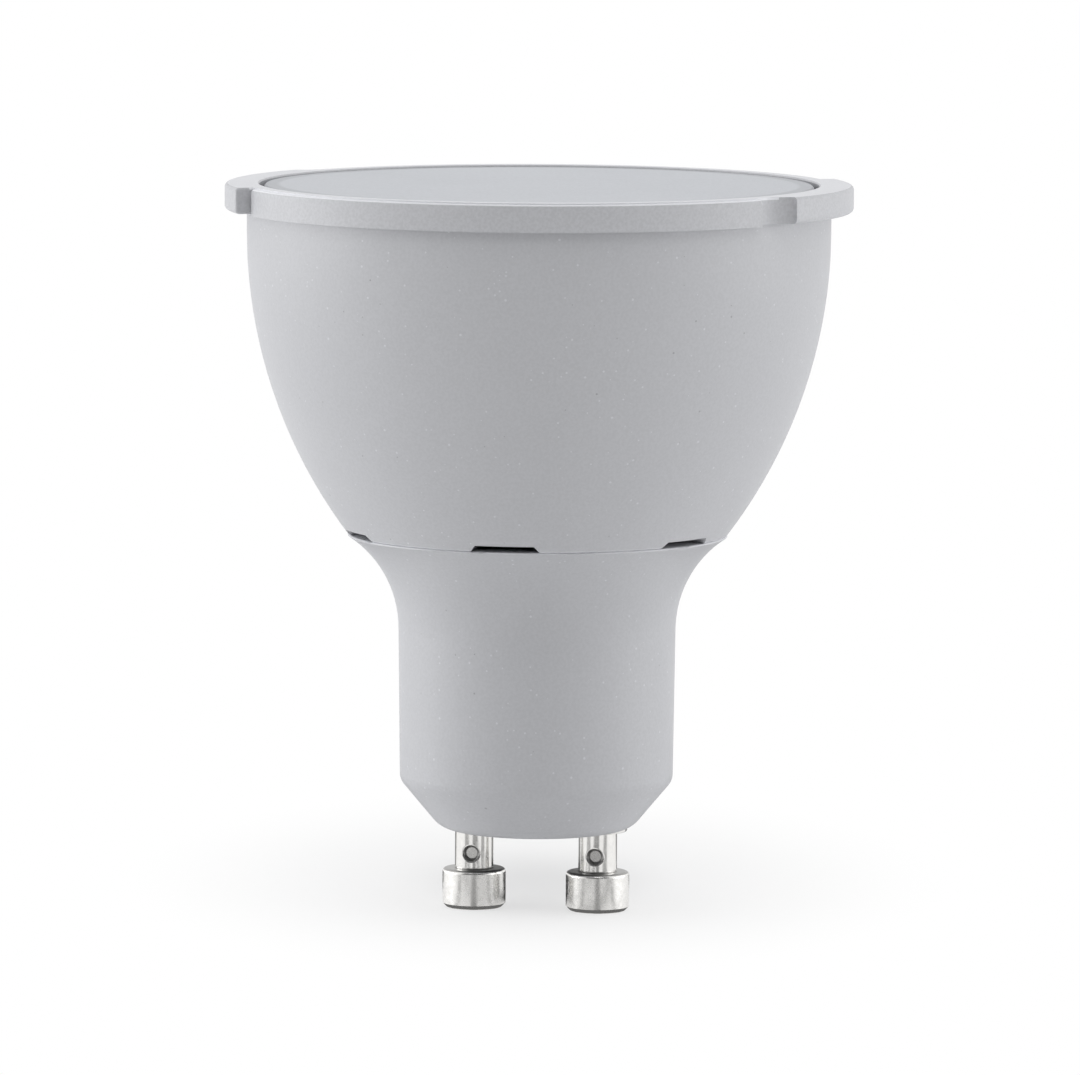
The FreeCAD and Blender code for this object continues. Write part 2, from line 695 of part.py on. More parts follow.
def make_pin(name, side):
    """A turned and plated contact pin, riveted into the base and crimped on its lead."""
    body = new_body(name)
    place(body, x=given.pin_pitch * side / 2)
    rivet_foot = floor_height
    rivet_top = floor_height + given.rivet_height
    collar_top = given.pin_stand + given.collar_seat_depth
    collar_foot = collar_top - given.collar_height
    turned = new_sketch(body, "turned_outline", XZ)
    outline(turned, [
        (ZERO, ZERO),
        (given.head_radius - given.head_chamfer, ZERO),
        (given.head_radius, given.head_chamfer),
        (given.head_radius, given.head_height - given.head_round),
        Arc(given.head_round, 1),
        (given.head_radius - given.head_round, given.head_height),
        (given.stem_radius, given.head_height),
        (given.stem_radius, collar_foot),
        (given.collar_radius - given.collar_round, collar_foot),
        Arc(given.collar_round, 1),
        (given.collar_radius, collar_foot + given.collar_round),
        (given.collar_radius, collar_top),
        (given.tail_radius, collar_top),
        (given.tail_radius, rivet_foot),
        (given.rivet_radius, rivet_foot),
        Arc(given.rivet_height, 1),
        (given.rivet_radius - given.rivet_height, rivet_top),
        (given.pin_bore_radius, rivet_top),
        (given.pin_bore_radius, given.pin_bore_floor),
        (ZERO, given.pin_bore_floor),
    ])
    revolve(body, "turned", turned)
    before = body.Tip.Shape.Volume
    crimp_middle = Vector(0, -given.stem_radius.value, given.crimp_height.value)

    def at_crimp_mouth(start, middle, end):
        near = (middle - crimp_middle).Length < given.stem_radius.value
        return near and all_at_radius((start, middle, end), given.stem_radius)

    dimple = body.newObject("PartDesign::SubtractiveCone", f"{body.Name}_crimp")
    dimple.AttachmentSupport = [(origin_feature(body, XZ), "")]
    dimple.MapMode = "FlatFace"
    bind(dimple, "AttachmentOffset.Base.y", given.crimp_height)
    bind(dimple, "AttachmentOffset.Base.z", given.stem_radius - given.crimp_depth)
    bind(dimple, "Radius1", given.crimp_floor_radius)
    bind(dimple, "Radius2", given.crimp_radius)
    bind(dimple, "Height", given.crimp_depth)
    check_cut(dimple, before)
    fillet(body, "crimp_round", edges_where(dimple, at_crimp_mouth), given.crimp_round)
    return body


def make_ring():
    """The front ring: ledge and skirt all round, two grip bands, two ears and a scoop beside each ear."""
    body = new_body("front_ring")
    place(body, z=rim_height)
    top = ring_height
    ledge = given.ledge_rise
    skirt_radius = bowl_inside - given.fit_gap
    ledge_radius = skirt_radius - given.skirt_wall
    ring_radius = given.bowl_radius + given.ring_proud
    band_radius = given.bowl_radius + given.band_proud
    ear_radius = given.bowl_radius + given.ear_proud
    root_radius = (opening_radius + ring_radius) / 2
    lip_radius = given.bowl_radius + given.fit_gap
    half_turn = as_size(180)

    frame = new_sketch(body, "frame_outline", XZ)
    outline(frame, [
        (ledge_radius, -given.skirt_depth),
        (skirt_radius - given.edge_break, -given.skirt_depth),
        (skirt_radius, given.edge_break - given.skirt_depth),
        (skirt_radius, -(ring_snap_drop + given.snap_half)),
        Arc(snap_curve, 1),
        (skirt_radius, given.snap_half - ring_snap_drop),
        (skirt_radius, ZERO),
        (ring_radius, ZERO),
        (ring_radius, top),
        (opening_radius + given.edge_break, top),
        (opening_radius, top - given.edge_break),
        (opening_radius, ledge),
        (ledge_radius, ledge),
    ])
    revolve(body, "frame", frame)

    band_span = half_turn - given.ear_span - given.notch_span - given.band_gap
    band_turn = (given.ear_span + band_span) / 2 + given.band_gap
    band_top = top - given.band_step
    band = new_sketch(body, "band_outline", XZ, turn=band_turn)
    outline(band, [
        (lip_radius, -given.band_lip),
        (band_radius, -given.band_lip),
        (band_radius, band_top),
        (root_radius, band_top),
        (root_radius, ZERO),
        (lip_radius, ZERO),
    ])
    bands = revolve(body, "band", band, angle=band_span)

    ear = new_sketch(body, "ear_outline", XZ)
    outline(ear, [
        (root_radius, ZERO),
        (ear_radius - given.ear_round, ZERO),
        Arc(given.ear_round, 1),
        (ear_radius, given.ear_round),
        (ear_radius, top - given.ear_round),
        Arc(given.ear_round, 1),
        (ear_radius - given.ear_round, top),
        (root_radius, top),
    ])
    ears = revolve(body, "ear", ear, angle=given.ear_span)

    # The scoop leads from the ring's wall up to the ear's end
    near = -(given.ear_span / 2)
    far = near - given.notch_span
    crest = ear_radius - given.ear_round
    scoop = new_sketch(body, "scoop_outline", XY)
    outline(scoop, [
        (root_radius * cosine(far), root_radius * sine(far)),
        (ring_radius * cosine(far), ring_radius * sine(far)),
        Arc(given.notch_round, -1),
        (crest * cosine(near), crest * sine(near)),
        (root_radius * cosine(near), root_radius * sine(near)),
    ])
    scoops = pad(body, "scoop", scoop, top)
    ring_of(body, "second_side", [bands, ears, scoops], as_size(2))

    # Each band's upper corners are rounded, then its outer edge; the ears' ends are softened last
    def band_corner(start, middle, end):
        radii = sorted(math.hypot(point.x, point.y) for point in (start, end))
        across = abs(radii[1] - band_radius.value) < TINY and radii[1] - radii[0] > TINY
        return across and all_at_height((start, middle, end), band_top)

    def band_outline(start, middle, end):
        return all_at_radius((start, middle, end), band_radius) and middle.z > 0

    def plain_ear_end(start, middle, end):
        upright = math.hypot(start.x - end.x, start.y - end.y) < TINY
        beside_band = start.x * start.y > 0
        return upright and beside_band and all_at_radius((start, middle, end), ear_radius)

    fillet(body, "band_corner", edges_where(body.Tip, band_corner), given.band_corner)
    fillet(body, "band_edge", edges_where(body.Tip, band_outline), given.band_round)
    fillet(body, "ear_end", edges_where(body.Tip, plain_ear_end), given.ear_end_round)
    return body


def make_diffuser():
    """The frosted disc that lies on the ring's ledge."""
    body = new_body("diffuser")
    place(body, z=ledge_height)
    radius = opening_radius - given.lens_gap
    disc = new_sketch(body, "disc_outline", XZ)
    outline(disc, [
        (ZERO, ZERO),
        (radius, ZERO),
        (radius, given.lens_thickness - given.edge_break),
        (radius - given.edge_break, given.lens_thickness),
        (ZERO, given.lens_thickness),
    ])
    revolve(body, "disc", disc)
    return body


def wire_holes(sketch, radius):
    for side in (-1, 1):
        circle(sketch, given.light_wire_spread * side, ZERO, radius)


def make_spreader():
    """The pressed metal pan that lines the bowl and carries the light board."""
    body = new_body("heat_spreader")
    place(body, z=spreader_foot)
    outer = spreader_outer
    inner = spreader_inner
    rim = rim_height - given.skirt_depth - given.spreader_gap
    pan = new_sketch(body, "pan_outline", XZ)
    outline(pan, [
        (ZERO, ZERO),
        (bowl_radius_at(spreader_foot, outer), ZERO),
        Arc(bowl_curve - outer, 1),
        (bowl_radius_at(rim, outer), rim - spreader_foot),
        (bowl_radius_at(rim, inner), rim - spreader_foot),
        Arc(bowl_curve - inner, -1),
        (bowl_radius_at(light_board_foot, inner), given.spreader_wall),
        (ZERO, given.spreader_wall),
    ])
    revolve(body, "pan", pan)
    holes = new_sketch(body, "wire_hole_outline", XY, offset=given.spreader_wall)
    wire_holes(holes, given.wire_radius + given.part_gap)
    pocket(body, "wire_holes", holes, given.spreader_wall)
    hole = new_sketch(body, "screw_hole_outline", XY, offset=given.spreader_wall)
    circle(hole, ZERO, screw_circle, given.screw_core_radius + given.part_gap)
    screw_holes = pocket(body, "screw_hole", hole, given.spreader_wall)
    ring_of(body, "screw_holes", [screw_holes], given.screw_count)
    return body


def make_light_board():
    """The round metal-core board that the light sources are soldered to."""
    body = new_body("light_board")
    place(body, z=light_board_foot)
    disc = new_sketch(body, "disc_outline", XY)
    circle(disc, ZERO, ZERO, light_board_radius)
    wire_holes(disc, given.wire_core_radius + given.part_gap)
    pad(body, "disc", disc, given.light_board_thickness)
    hole = new_sketch(body, "screw_hole_outline", XY, offset=given.light_board_thickness)
    circle(hole, ZERO, screw_circle, given.screw_core_radius + given.part_gap)
    screw_holes = pocket(body, "screw_hole", hole, given.light_board_thickness)
    ring_of(body, "screw_holes", [screw_holes], given.screw_count)
    return body


def make_leds():
    """Surface-mounted light sources in a circle on the light board."""
    body = new_body("led_packages")
    place(body, z=light_board_top)
    case = new_sketch(body, "case_outline", XY)
    half_length = given.led_length / 2
    half_width = given.led_width / 2
    rectangle(case, given.led_circle - half_length, given.led_circle + half_length, -half_width, half_width)
    cases = pad(body, "case", case, given.led_height)
    window = new_sketch(body, "window_outline", XY, offset=given.led_height)
    circle(window, given.led_circle, ZERO, given.led_window)
    windows = pocket(body, "window", window, given.led_window_depth)
    ring_of(body, "circle", [cases, windows], given.led_count)
    return body


def make_board_screws():
    """Pan-head screws that clamp the light board and the heat spreader to the bowl's columns."""
    body = new_body("board_screws")
    place(body, z=light_board_top)
    grip = given.light_board_thickness + given.spreader_wall
    shank = new_sketch(body, "shank_outline", XY, offset=-(grip + given.screw_bite))
    circle(shank, ZERO, screw_circle, given.screw_core_radius)
    shanks = pad(body, "shank", shank, grip + given.screw_bite)
    head = new_sketch(body, "head_outline", XY)
    circle(head, ZERO, screw_circle, given.screw_head_radius)
    heads = pad(body, "head", head, given.screw_head_height)
    ring_of(body, "screws", [shanks, heads], given.screw_count)
    return body


def make_driver_board():
    """The upright circuit board that slides into the base's holders."""
    body = new_body("driver_board")
    place(body, y=board_face, z=driver_foot)
    board = new_sketch(body, "board_outline", XZ)
    rectangle(board, -driver_half, driver_half, ZERO, driver_top - driver_foot)
    pad(body, "board", board, given.driver_thickness)
    return body


def can_outline(radius, length):
    """Half section of a capacitor can, with its crimp groove near the sealed end."""
    groove_half = given.can_groove_half
    groove_curve = (given.can_groove.squared() + groove_half.squared()) / (2 * given.can_groove)
    return [
        (ZERO, ZERO),
        (radius - given.can_round, ZERO),
        Arc(given.can_round, 1),
        (radius, given.can_round),
        (radius, given.can_groove_rise - groove_half),
        Arc(groove_curve, -1),
        (radius, given.can_groove_rise + groove_half),
        (radius, length - given.can_round),
        Arc(given.can_round, 1),
        (radius - given.can_round, length),
        (ZERO, length),
    ]


def make_input_capacitor():
    """The smoothing capacitor, laid along the board with its leads bent into it."""
    body = new_body("input_capacitor")
    lift = given.input_can_radius + given.part_gap
    place(body, y=board_face + lift, z=driver_foot + given.input_can_lift)
    can = new_sketch(body, "can_outline", XZ)
    outline(can, can_outline(given.input_can_radius, given.input_can_length))
    revolve(body, "can", can)
    drop = new_sketch(body, "lead_drop_outline", XY)
    reach = new_sketch(body, "lead_reach_outline", XZ, offset=-given.can_lead_radius)
    for side in (-1, 1):
        x = given.can_lead_pitch * side / 2
        circle(drop, x, ZERO, given.can_lead_radius)
        circle(reach, x, given.can_lead_radius - given.can_lead_drop, given.can_lead_radius)
    pad(body, "lead_drop", drop, given.can_lead_drop, reverse=True)
    pad(body, "lead_reach", reach, lift + given.can_lead_radius)
    return body


FACING_FRONT = FreeCAD.Rotation(Vector(1, 0, 0), -90)
FACING_BACK = FreeCAD.Rotation(Vector(1, 0, 0), 90)


def make_output_capacitor():
    """The output capacitor, standing straight off the board."""
    body = new_body("output_capacitor")
    place(body, -given.tall_spread, board_face, driver_top - given.tall_drop, FACING_FRONT)
    can = new_sketch(body, "can_outline", XZ)
    outline(can, can_outline(given.output_can_radius, given.output_can_length))
    revolve(body, "can", can)
    return body


def make_choke():
    """The drum core of the choke and the copper winding between its flanges."""
    core = new_body("choke_core")
    place(core, given.tall_spread, board_face, driver_top - given.tall_drop, FACING_FRONT)
    upper = given.choke_height - given.choke_flange
    drum = new_sketch(core, "drum_outline", XZ)
    outline(drum, [
        (ZERO, ZERO),
        (given.choke_radius, ZERO),
        (given.choke_radius, given.choke_flange),
        (given.choke_core_radius, given.choke_flange),
        (given.choke_core_radius, upper),
        (given.choke_radius, upper),
        (given.choke_radius, given.choke_height),
        (ZERO, given.choke_height),
    ])
    revolve(core, "drum", drum)
    winding = new_body("choke_winding")
    place(winding, given.tall_spread, board_face, driver_top - given.tall_drop, FACING_FRONT)
    low = given.choke_flange + given.fit_gap
    high = upper - given.fit_gap
    inside = given.choke_core_radius + given.fit_gap
    outside = given.winding_radius
    coil = new_sketch(winding, "coil_outline", XZ)
    outline(coil, [
        (inside, low),
        (outside, low),
        Arc(given.winding_bulge, 1),
        (outside, high),
        (inside, high),
    ])
    revolve(winding, "coil", coil)
    return [core, winding]


def make_chip(name, case, leads, height_on_lamp):
    """A surface-mounted case on the back of the driver board, with bent leads along two sides."""
    length, width, height = case
    lead_width, lead_pitch, leads_per_side = leads
    body = new_body(name)
    place(body, ZERO, board_back, height_on_lamp, FACING_BACK)
    foot = given.chip_lead_thickness
    shell = new_sketch(body, "case_outline", XY, offset=foot / 2)
    rectangle(shell, -(length / 2), length / 2, -(width / 2), width / 2)
    pad(body, "case", shell, height - foot / 2)
    first = -(lead_pitch * (leads_per_side - 1) / 2) - lead_width / 2
    bend = width / 2 + given.chip_foot / 2
    tip = width / 2 + given.chip_foot
    level = height / 2
    lead = new_sketch(body, "lead_outline", YZ, offset=first)
    for side in (-1, 1):
        steps = [
            (width / 4 * side, level - foot),
            ((bend - foot) * side, level - foot),
            ((bend - foot) * side, ZERO),
            (tip * side, ZERO),
            (tip * side, foot),
            (bend * side, foot),
            (bend * side, level),
            (width / 4 * side, level),
        ]
        outline(lead, steps)
    leads = pad(body, "lead", lead, lead_width)
    if leads_per_side.value > 1:
        row_of(body, "leads", [leads], lead_pitch, leads_per_side)
    return body


def make_chip_resistors():
    """Chip resistors in a column on the back of the driver board."""
    body = new_body("chip_resistors")
    place(body, given.resistor_offset, board_back, driver_top - given.resistor_drop, FACING_BACK)
    block = new_sketch(body, "block_outline", XY)
    for number in range(int(given.resistor_count.value)):
        low = given.resistor_pitch * number
        half = given.resistor_length / 2
        rectangle(block, -half, half, low, low + given.resistor_width)
    pad(body, "block", block, given.resistor_height)
    return body


def make_fusible_resistor():
    """The fusible resistor, laid along the back of the board with both leads bent into it."""
    body = new_body("fusible_resistor")
    lift = given.fuse_radius + given.part_gap
    place(body, -given.fuse_offset, board_back - lift, driver_foot + given.fuse_rise)
    cap = given.fuse_cap
    waist = given.fuse_radius - given.fuse_waist
    barrel = new_sketch(body, "barrel_outline", XZ)
    outline(barrel, [
        (ZERO, ZERO),
        (given.fuse_radius - given.part_gap, ZERO),
        (given.fuse_radius, given.part_gap),
        (given.fuse_radius, cap),
        (waist, cap + given.part_gap),
        (waist, given.fuse_length - cap - given.part_gap),
        (given.fuse_radius, given.fuse_length - cap),
        (given.fuse_radius, given.fuse_length - given.part_gap),
        (given.fuse_radius - given.part_gap, given.fuse_length),
        (ZERO, given.fuse_length),
    ])
    revolve(body, "barrel", barrel)
    stub = given.can_lead_drop
    wire = new_sketch(body, "lead_outline", XY, offset=-stub)
    circle(wire, ZERO, ZERO, given.can_lead_radius)
    pad(body, "lead", wire, given.fuse_length + stub * 2)
    reach = new_sketch(body, "lead_reach_outline", XZ, offset=given.can_lead_radius)
    for height in (given.can_lead_radius - stub, given.fuse_length + stub - given.can_lead_radius):
        circle(reach, ZERO, height, given.can_lead_radius)
    pad(body, "lead_reach", reach, lift + given.can_lead_radius, reverse=True)
    return body


def make_supply_lead(name, side):
    """A supply lead, bare in the pin's bore and insulated from there up to the driver board."""
    body = new_body(name)
    place(body, x=given.pin_pitch * side / 2)
    sleeve_foot = floor_height + given.rivet_height + given.part_gap
    sleeve_top = driver_foot + given.supply_wire_rise
    tip = sleeve_top + given.wire_radius * 2
    wire = new_sketch(body, "wire_outline", XZ)
    outline(wire, [
        (ZERO, given.pin_bore_floor),
        (given.wire_core_radius, given.pin_bore_floor),
        (given.wire_core_radius, sleeve_foot),
        (given.wire_radius, sleeve_foot),
        (given.wire_radius, sleeve_top),
        (given.wire_core_radius, sleeve_top),
        (given.wire_core_radius, tip),
        (ZERO, tip),
    ])
    revolve(body, "wire", wire)
    return body


def make_light_lead(name, side):
    """A lead from the driver board up through the spreader, soldered on the light board."""
    body = new_body(name)
    place(body, x=given.light_wire_spread * side, z=driver_top)
    sleeve_top = light_board_foot - driver_top - given.part_gap
    solder_foot = light_board_top - driver_top
    solder_top = solder_foot + given.solder_height
    dome = (given.solder_radius.squared() + given.solder_height.squared()) / (2 * given.solder_height)
    wire = new_sketch(body, "wire_outline", XZ)
    outline(wire, [
        (ZERO, -given.light_wire_lap),
        (given.wire_radius, -given.light_wire_lap),
        (given.wire_radius, sleeve_top),
        (given.wire_core_radius, sleeve_top),
        (given.wire_core_radius, solder_foot),
        (given.solder_radius, solder_foot),
        Arc(dome, 1),
        (ZERO, solder_top),
    ])
    revolve(body, "wire", wire)
    return body


def check_document(pieces):
    """Stops before anything is written if an object failed or a piece has no sound shape."""
    doc.recompute()
    for thing in doc.Objects:
        if "Invalid" in thing.State or "Error" in thing.State:
            raise RuntimeError(f"{thing.Name} is {thing.State}")
    for piece in pieces:
        if piece.Shape.isNull() or not piece.Shape.isValid():
            raise RuntimeError(f"{piece.Label} has no valid shape")


def export(pieces):
    os.makedirs("parts", exist_ok=True)
    for piece in pieces:
        piece.Shape.exportStep(f"parts/{piece.Label}.step")


def main():
    bridge_case = (given.bridge_length, given.bridge_width, given.bridge_height)
    bridge_leads = (given.bridge_lead_width, given.bridge_lead_pitch, given.bridge_leads)
    chip_case = (given.chip_length, given.chip_width, given.chip_height)
    chip_leads = (given.chip_lead_width, given.chip_lead_pitch, given.chip_leads)
    diode_case = (given.diode_length, given.diode_width, given.diode_height)
    diode_leads = (given.diode_lead_width, ZERO, as_size(1))
    pieces = [
        make_bowl(),
        make_base(),
        make_pin("contact_pin_left", -1),
        make_pin("contact_pin_right", 1),
        make_ring(),
        make_diffuser(),
        make_spreader(),
        make_light_board(),
        make_leds(),
        make_board_screws(),
        make_driver_board(),
        make_input_capacitor(),
        make_output_capacitor(),
        *make_choke(),
        make_chip("bridge_rectifier", bridge_case, bridge_leads, driver_foot + given.bridge_rise),
        make_chip("driver_chip", chip_case, chip_leads, driver_foot + given.chip_rise),
        make_chip("flyback_diode", diode_case, diode_leads, driver_top - given.diode_drop),
        make_chip_resistors(),
        make_fusible_resistor(),
        make_supply_lead("supply_lead_left", -1),
        make_supply_lead("supply_lead_right", 1),
        make_light_lead("light_lead_left", -1),
        make_light_lead("light_lead_right", 1),
    ]
    check_document(pieces)
    export(pieces)


main()
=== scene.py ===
import math

import bpy
from mathutils import Euler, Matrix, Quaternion, Vector


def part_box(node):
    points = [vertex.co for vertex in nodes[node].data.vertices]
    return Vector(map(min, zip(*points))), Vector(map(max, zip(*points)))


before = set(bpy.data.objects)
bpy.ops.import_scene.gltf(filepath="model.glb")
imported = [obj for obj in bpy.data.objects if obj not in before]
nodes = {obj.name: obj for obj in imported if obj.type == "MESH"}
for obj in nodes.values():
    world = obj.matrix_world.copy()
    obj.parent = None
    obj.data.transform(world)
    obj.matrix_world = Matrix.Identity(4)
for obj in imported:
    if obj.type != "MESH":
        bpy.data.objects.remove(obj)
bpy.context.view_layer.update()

# A mains spotlight bulb in silver-grey plastic, standing on its two pins in an evenly lit white studio.
# Lengths are in metres, in the frame of the solids: +Z up the lamp's axis, the pins along X.

MM = 0.001
bowl_low, bowl_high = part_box("bowl_housing")
seam_height = bowl_low.z
ring_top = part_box("front_ring")[1].z
lens_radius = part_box("diffuser")[1].x

# The pins' own sizes, as in the solids
PIN_OFFSET = 5.0 * MM
HEAD_RADIUS = 2.53 * MM
HEAD_TOP = 3.15 * MM
CRIMP_HEIGHT = 4.45 * MM
CRIMP_FLOOR = 0.44 * MM
CRIMP_MOUTH = 0.68 * MM

# The dark line along a head's upper edge, a painted reflection of the shaded parts above and beside it:
# how far it reaches down and up, and where it fades
SHOULDER_DROP = 0.12 * MM
SHOULDER_RISE = 0.05 * MM
SHOULDER_FADE = 1.5 * MM

# Painted highlights on the plastic: a pale line along the seam, a paler upper face of the ring, and a pale
# line along the bands' upper edge
SEAM_HIGHLIGHT_WIDTH = 0.16 * MM
BAND_STEP = 0.1 * MM
BAND_PROUD = 0.6 * MM
BAND_WIDTH = 0.95 * MM
BAND_RADIUS = bowl_high.x + BAND_PROUD
EDGE_HIGHLIGHT_REACH = 0.1 * MM
SKIN = 0.02 * MM

# The outer border of the disc, which lies on the ring's ledge and is darkened there as painted shade
LEDGE_SHADE_START = lens_radius - 1.4 * MM
LEDGE_SHADE_END = lens_radius - 0.9 * MM

# Colours, and the stretch of a noise's values that blends from one look to another
WHITE = (1.0, 1.0, 1.0, 1.0)
SILVER = (0.455, 0.460, 0.480)
OPAL = (0.49, 0.505, 0.535)
NICKEL = (0.86, 0.85, 0.83)
COPPER = (0.62, 0.25, 0.10)
NOISE_SPAN = (0.3, 0.7)
WIDE_NOISE_SPAN = (0.25, 0.75)


# Material building


class Finish:
    """One procedural material, with short calls for the nodes that feed its shader."""

    def __init__(self, name, **settings):
        self.material = bpy.data.materials.new(name)
        self.material.use_nodes = True
        self.tree = self.material.node_tree
        self.shader = self.tree.nodes["Principled BSDF"]
        self.place = self.tree.nodes.new("ShaderNodeTexCoord").outputs["Object"]
        for socket, value in settings.items():
            self.shader.inputs[socket.replace("_", " ")].default_value = value

    def node(self, kind, **inputs):
        """Adds a node; an input is a value or another node's output."""
        made = self.tree.nodes.new("ShaderNode" + kind)
        for name, value in inputs.items():
            self.feed(made.inputs[name.replace("_", " ")], value)
        return made

    def feed(self, socket, value):
        if isinstance(value, bpy.types.NodeSocket):
            self.tree.links.new(value, socket)
        else:
            socket.default_value = value

    def give(self, socket, value):
        """Drives one input of the shader."""
        self.feed(self.shader.inputs[socket], value)

    def use_instead(self, surface):
        """Shows another shader's output in place of the usual shader."""
        self.tree.nodes.remove(self.shader)
        self.tree.links.new(surface, self.tree.nodes["Material Output"].inputs["Surface"])

    def math(self, operation, first, second=0.0):
        made = self.tree.nodes.new("ShaderNodeMath")
        made.operation = operation
        self.feed(made.inputs[0], first)
        self.feed(made.inputs[1], second)
        return made.outputs[0]

    def range(self, value, low, high, to_low=0.0, to_high=1.0):
        """Maps a value from one range to another, smoothly and clamped."""
        made = self.tree.nodes.new("ShaderNodeMapRange")
        made.interpolation_type = "SMOOTHSTEP"
        for index, amount in enumerate((value, low, high, to_low, to_high)):
            self.feed(made.inputs[index], amount)
        return made.outputs[0]

    def mix(self, factor, first, second):
        """Blends two colours."""
        made = self.tree.nodes.new("ShaderNodeMix")
        made.data_type = "RGBA"
        colours = [socket for socket in made.inputs if socket.type == "RGBA"]
        self.feed(made.inputs[0], factor)
        self.feed(colours[0], first)
        self.feed(colours[1], second)
        return [socket for socket in made.outputs if socket.type == "RGBA"][0]

    def noise(self, size, detail):
        """Soft noise from 0 to 1 whose features are about that size across."""
        return self.node("TexNoise", Vector=self.place, Scale=1 / size, Detail=detail).outputs[0]

    def part(self, axis):
        """One coordinate of the surface point."""
        return self.node("SeparateXYZ", Vector=self.place).outputs[axis]

    def length(self, across, along):
        """Length of a two-part vector."""
        squares = self.math("MULTIPLY", across, across), self.math("MULTIPLY", along, along)
        return self.math("SQRT", self.math("ADD", *squares))

    def radius(self):
        """Distance of the surface point from the lamp's axis."""
        return self.length(self.part("X"), self.part("Y"))

    def step_over(self, value, edge):
        return self.math("GREATER_THAN", value, edge)

    def step_under(self, value, edge):
        return self.math("LESS_THAN", value, edge)

    def between(self, value, low, high):
        return self.math("MULTIPLY", self.step_over(value, low), self.step_under(value, high))

    def specks(self, spacing, largest, share):
        """Small round dots: a share of the cells holds one, up to that radius."""
        cells = self.node("TexVoronoi", Vector=self.place, Scale=1 / spacing)
        pick = self.node("SeparateColor", Color=cells.outputs["Color"])
        radius = self.math("MULTIPLY", pick.outputs["Green"], largest / spacing)
        here = self.step_under(pick.outputs["Red"], share)
        dot = self.step_under(cells.outputs["Distance"], radius)
        return self.math("MULTIPLY", here, dot)

    def bump(self, height, depth):
        """Raises the surface by a height from 0 to 1 times that depth."""
        made = self.node("Bump", Height=height, Distance=depth, Strength=1.0)
        self.give("Normal", made.outputs[0])


def shade(colour, factor):
    """A colour made lighter or darker."""
    return [channel * factor for channel in colour] + [1.0]


# Finishes


def moulded_plastic(name, grain_share, grain_depth):
    """Satin silver-grey plastic with faint clouds and fine grain: the finish, and its colour so far."""
    finish = Finish(name, Specular_IOR_Level=0.35)
    clouds = finish.noise(9 * MM, detail=3.0)
    grain = finish.noise(0.22 * MM, detail=2.0)
    colour = finish.mix(clouds, shade(SILVER, 0.985), shade(SILVER, 1.015))
    grainy = finish.range(grain, *NOISE_SPAN, 0.0, grain_share)
    colour = finish.mix(grainy, colour, shade(SILVER, 1.12))
    finish.give("Roughness", finish.range(clouds, *NOISE_SPAN, 0.43, 0.5))
    finish.bump(grain, grain_depth)
    return finish, colour


def shell_plastic():
    """The housings: pale dust, a few dark specks, and a painted highlight along the line where the two
    meet.
    """
    finish, colour = moulded_plastic("shell_plastic", grain_share=0.5, grain_depth=0.006 * MM)
    from_seam = finish.math("ABSOLUTE", finish.math("SUBTRACT", finish.part("Z"), seam_height))
    seam_highlight = finish.range(from_seam, SEAM_HIGHLIGHT_WIDTH / 2, SEAM_HIGHLIGHT_WIDTH, 1.0, 0.0)
    dust = finish.specks(spacing=0.45 * MM, largest=0.1 * MM, share=0.25)
    dirt = finish.specks(spacing=0.8 * MM, largest=0.1 * MM, share=0.1)
    # painted highlight: the crease where the housings meet is made paler than the plastic round it
    colour = finish.mix(seam_highlight, colour, shade(SILVER, 1.38))
    colour = finish.mix(dust, colour, shade(SILVER, 1.25))
    colour = finish.mix(dirt, colour, shade(SILVER, 0.72))
    finish.give("Base Color", colour)
    return finish


def ring_plastic():
    """The front ring: a grainier face, a painted highlight over its upper face, and a painted highlight
    along the bands' upper edge.
    """
    finish, colour = moulded_plastic("ring_plastic", grain_share=0.85, grain_depth=0.009 * MM)
    height = finish.part("Z")
    top_highlight = finish.step_over(height, ring_top - SKIN)
    edge = finish.between(height, ring_top - BAND_STEP - EDGE_HIGHLIGHT_REACH, ring_top - SKIN)
    on_band = finish.between(finish.radius(), BAND_RADIUS - BAND_WIDTH, BAND_RADIUS + SKIN)
    # painted highlights: the ring's upper face is paler, and so is a thin line along the bands' upper edge
    colour = finish.mix(top_highlight, colour, shade(SILVER, 1.42))
    colour = finish.mix(finish.math("MULTIPLY", edge, on_band), colour, shade(SILVER, 1.6))
    finish.give("Base Color", colour)
    return finish


def frosted_lens():
    """Opal disc with painted shade where it lies on its ledge, and a fine frosted face."""
    finish = Finish("frosted_lens", Roughness=0.55, Specular_IOR_Level=0.25)
    clouds = finish.noise(14 * MM, detail=2.0)
    frost = finish.noise(0.25 * MM, detail=2.0)
    frosty = finish.range(frost, *NOISE_SPAN, 0.0, 0.6)
    inside = finish.range(finish.radius(), LEDGE_SHADE_START, LEDGE_SHADE_END, 1.0, 0.0)
    dust = finish.specks(spacing=0.6 * MM, largest=0.09 * MM, share=0.15)
    colour = finish.mix(clouds, shade(OPAL, 0.94), shade(OPAL, 1.06))
    colour = finish.mix(frosty, colour, shade(OPAL, 1.12))
    # painted shade: darker towards the border, where the disc lies on its ledge
    colour = finish.mix(inside, shade(OPAL, 0.88), colour)
    colour = finish.mix(dust, colour, shade(OPAL, 1.2))
    finish.give("Base Color", colour)
    finish.bump(frost, 0.006 * MM)
    return finish


def painted_shoulder_reflection(finish, height, outward):
    """Where a head's upper edge carries a painted dark reflection, most so towards the lamp's axis."""
    edge = finish.between(height, HEAD_TOP - SHOULDER_DROP, HEAD_TOP + SHOULDER_RISE)
    return finish.math("MULTIPLY", edge, finish.range(outward, -SHOULDER_FADE, SHOULDER_FADE, 1.0, 0.6))


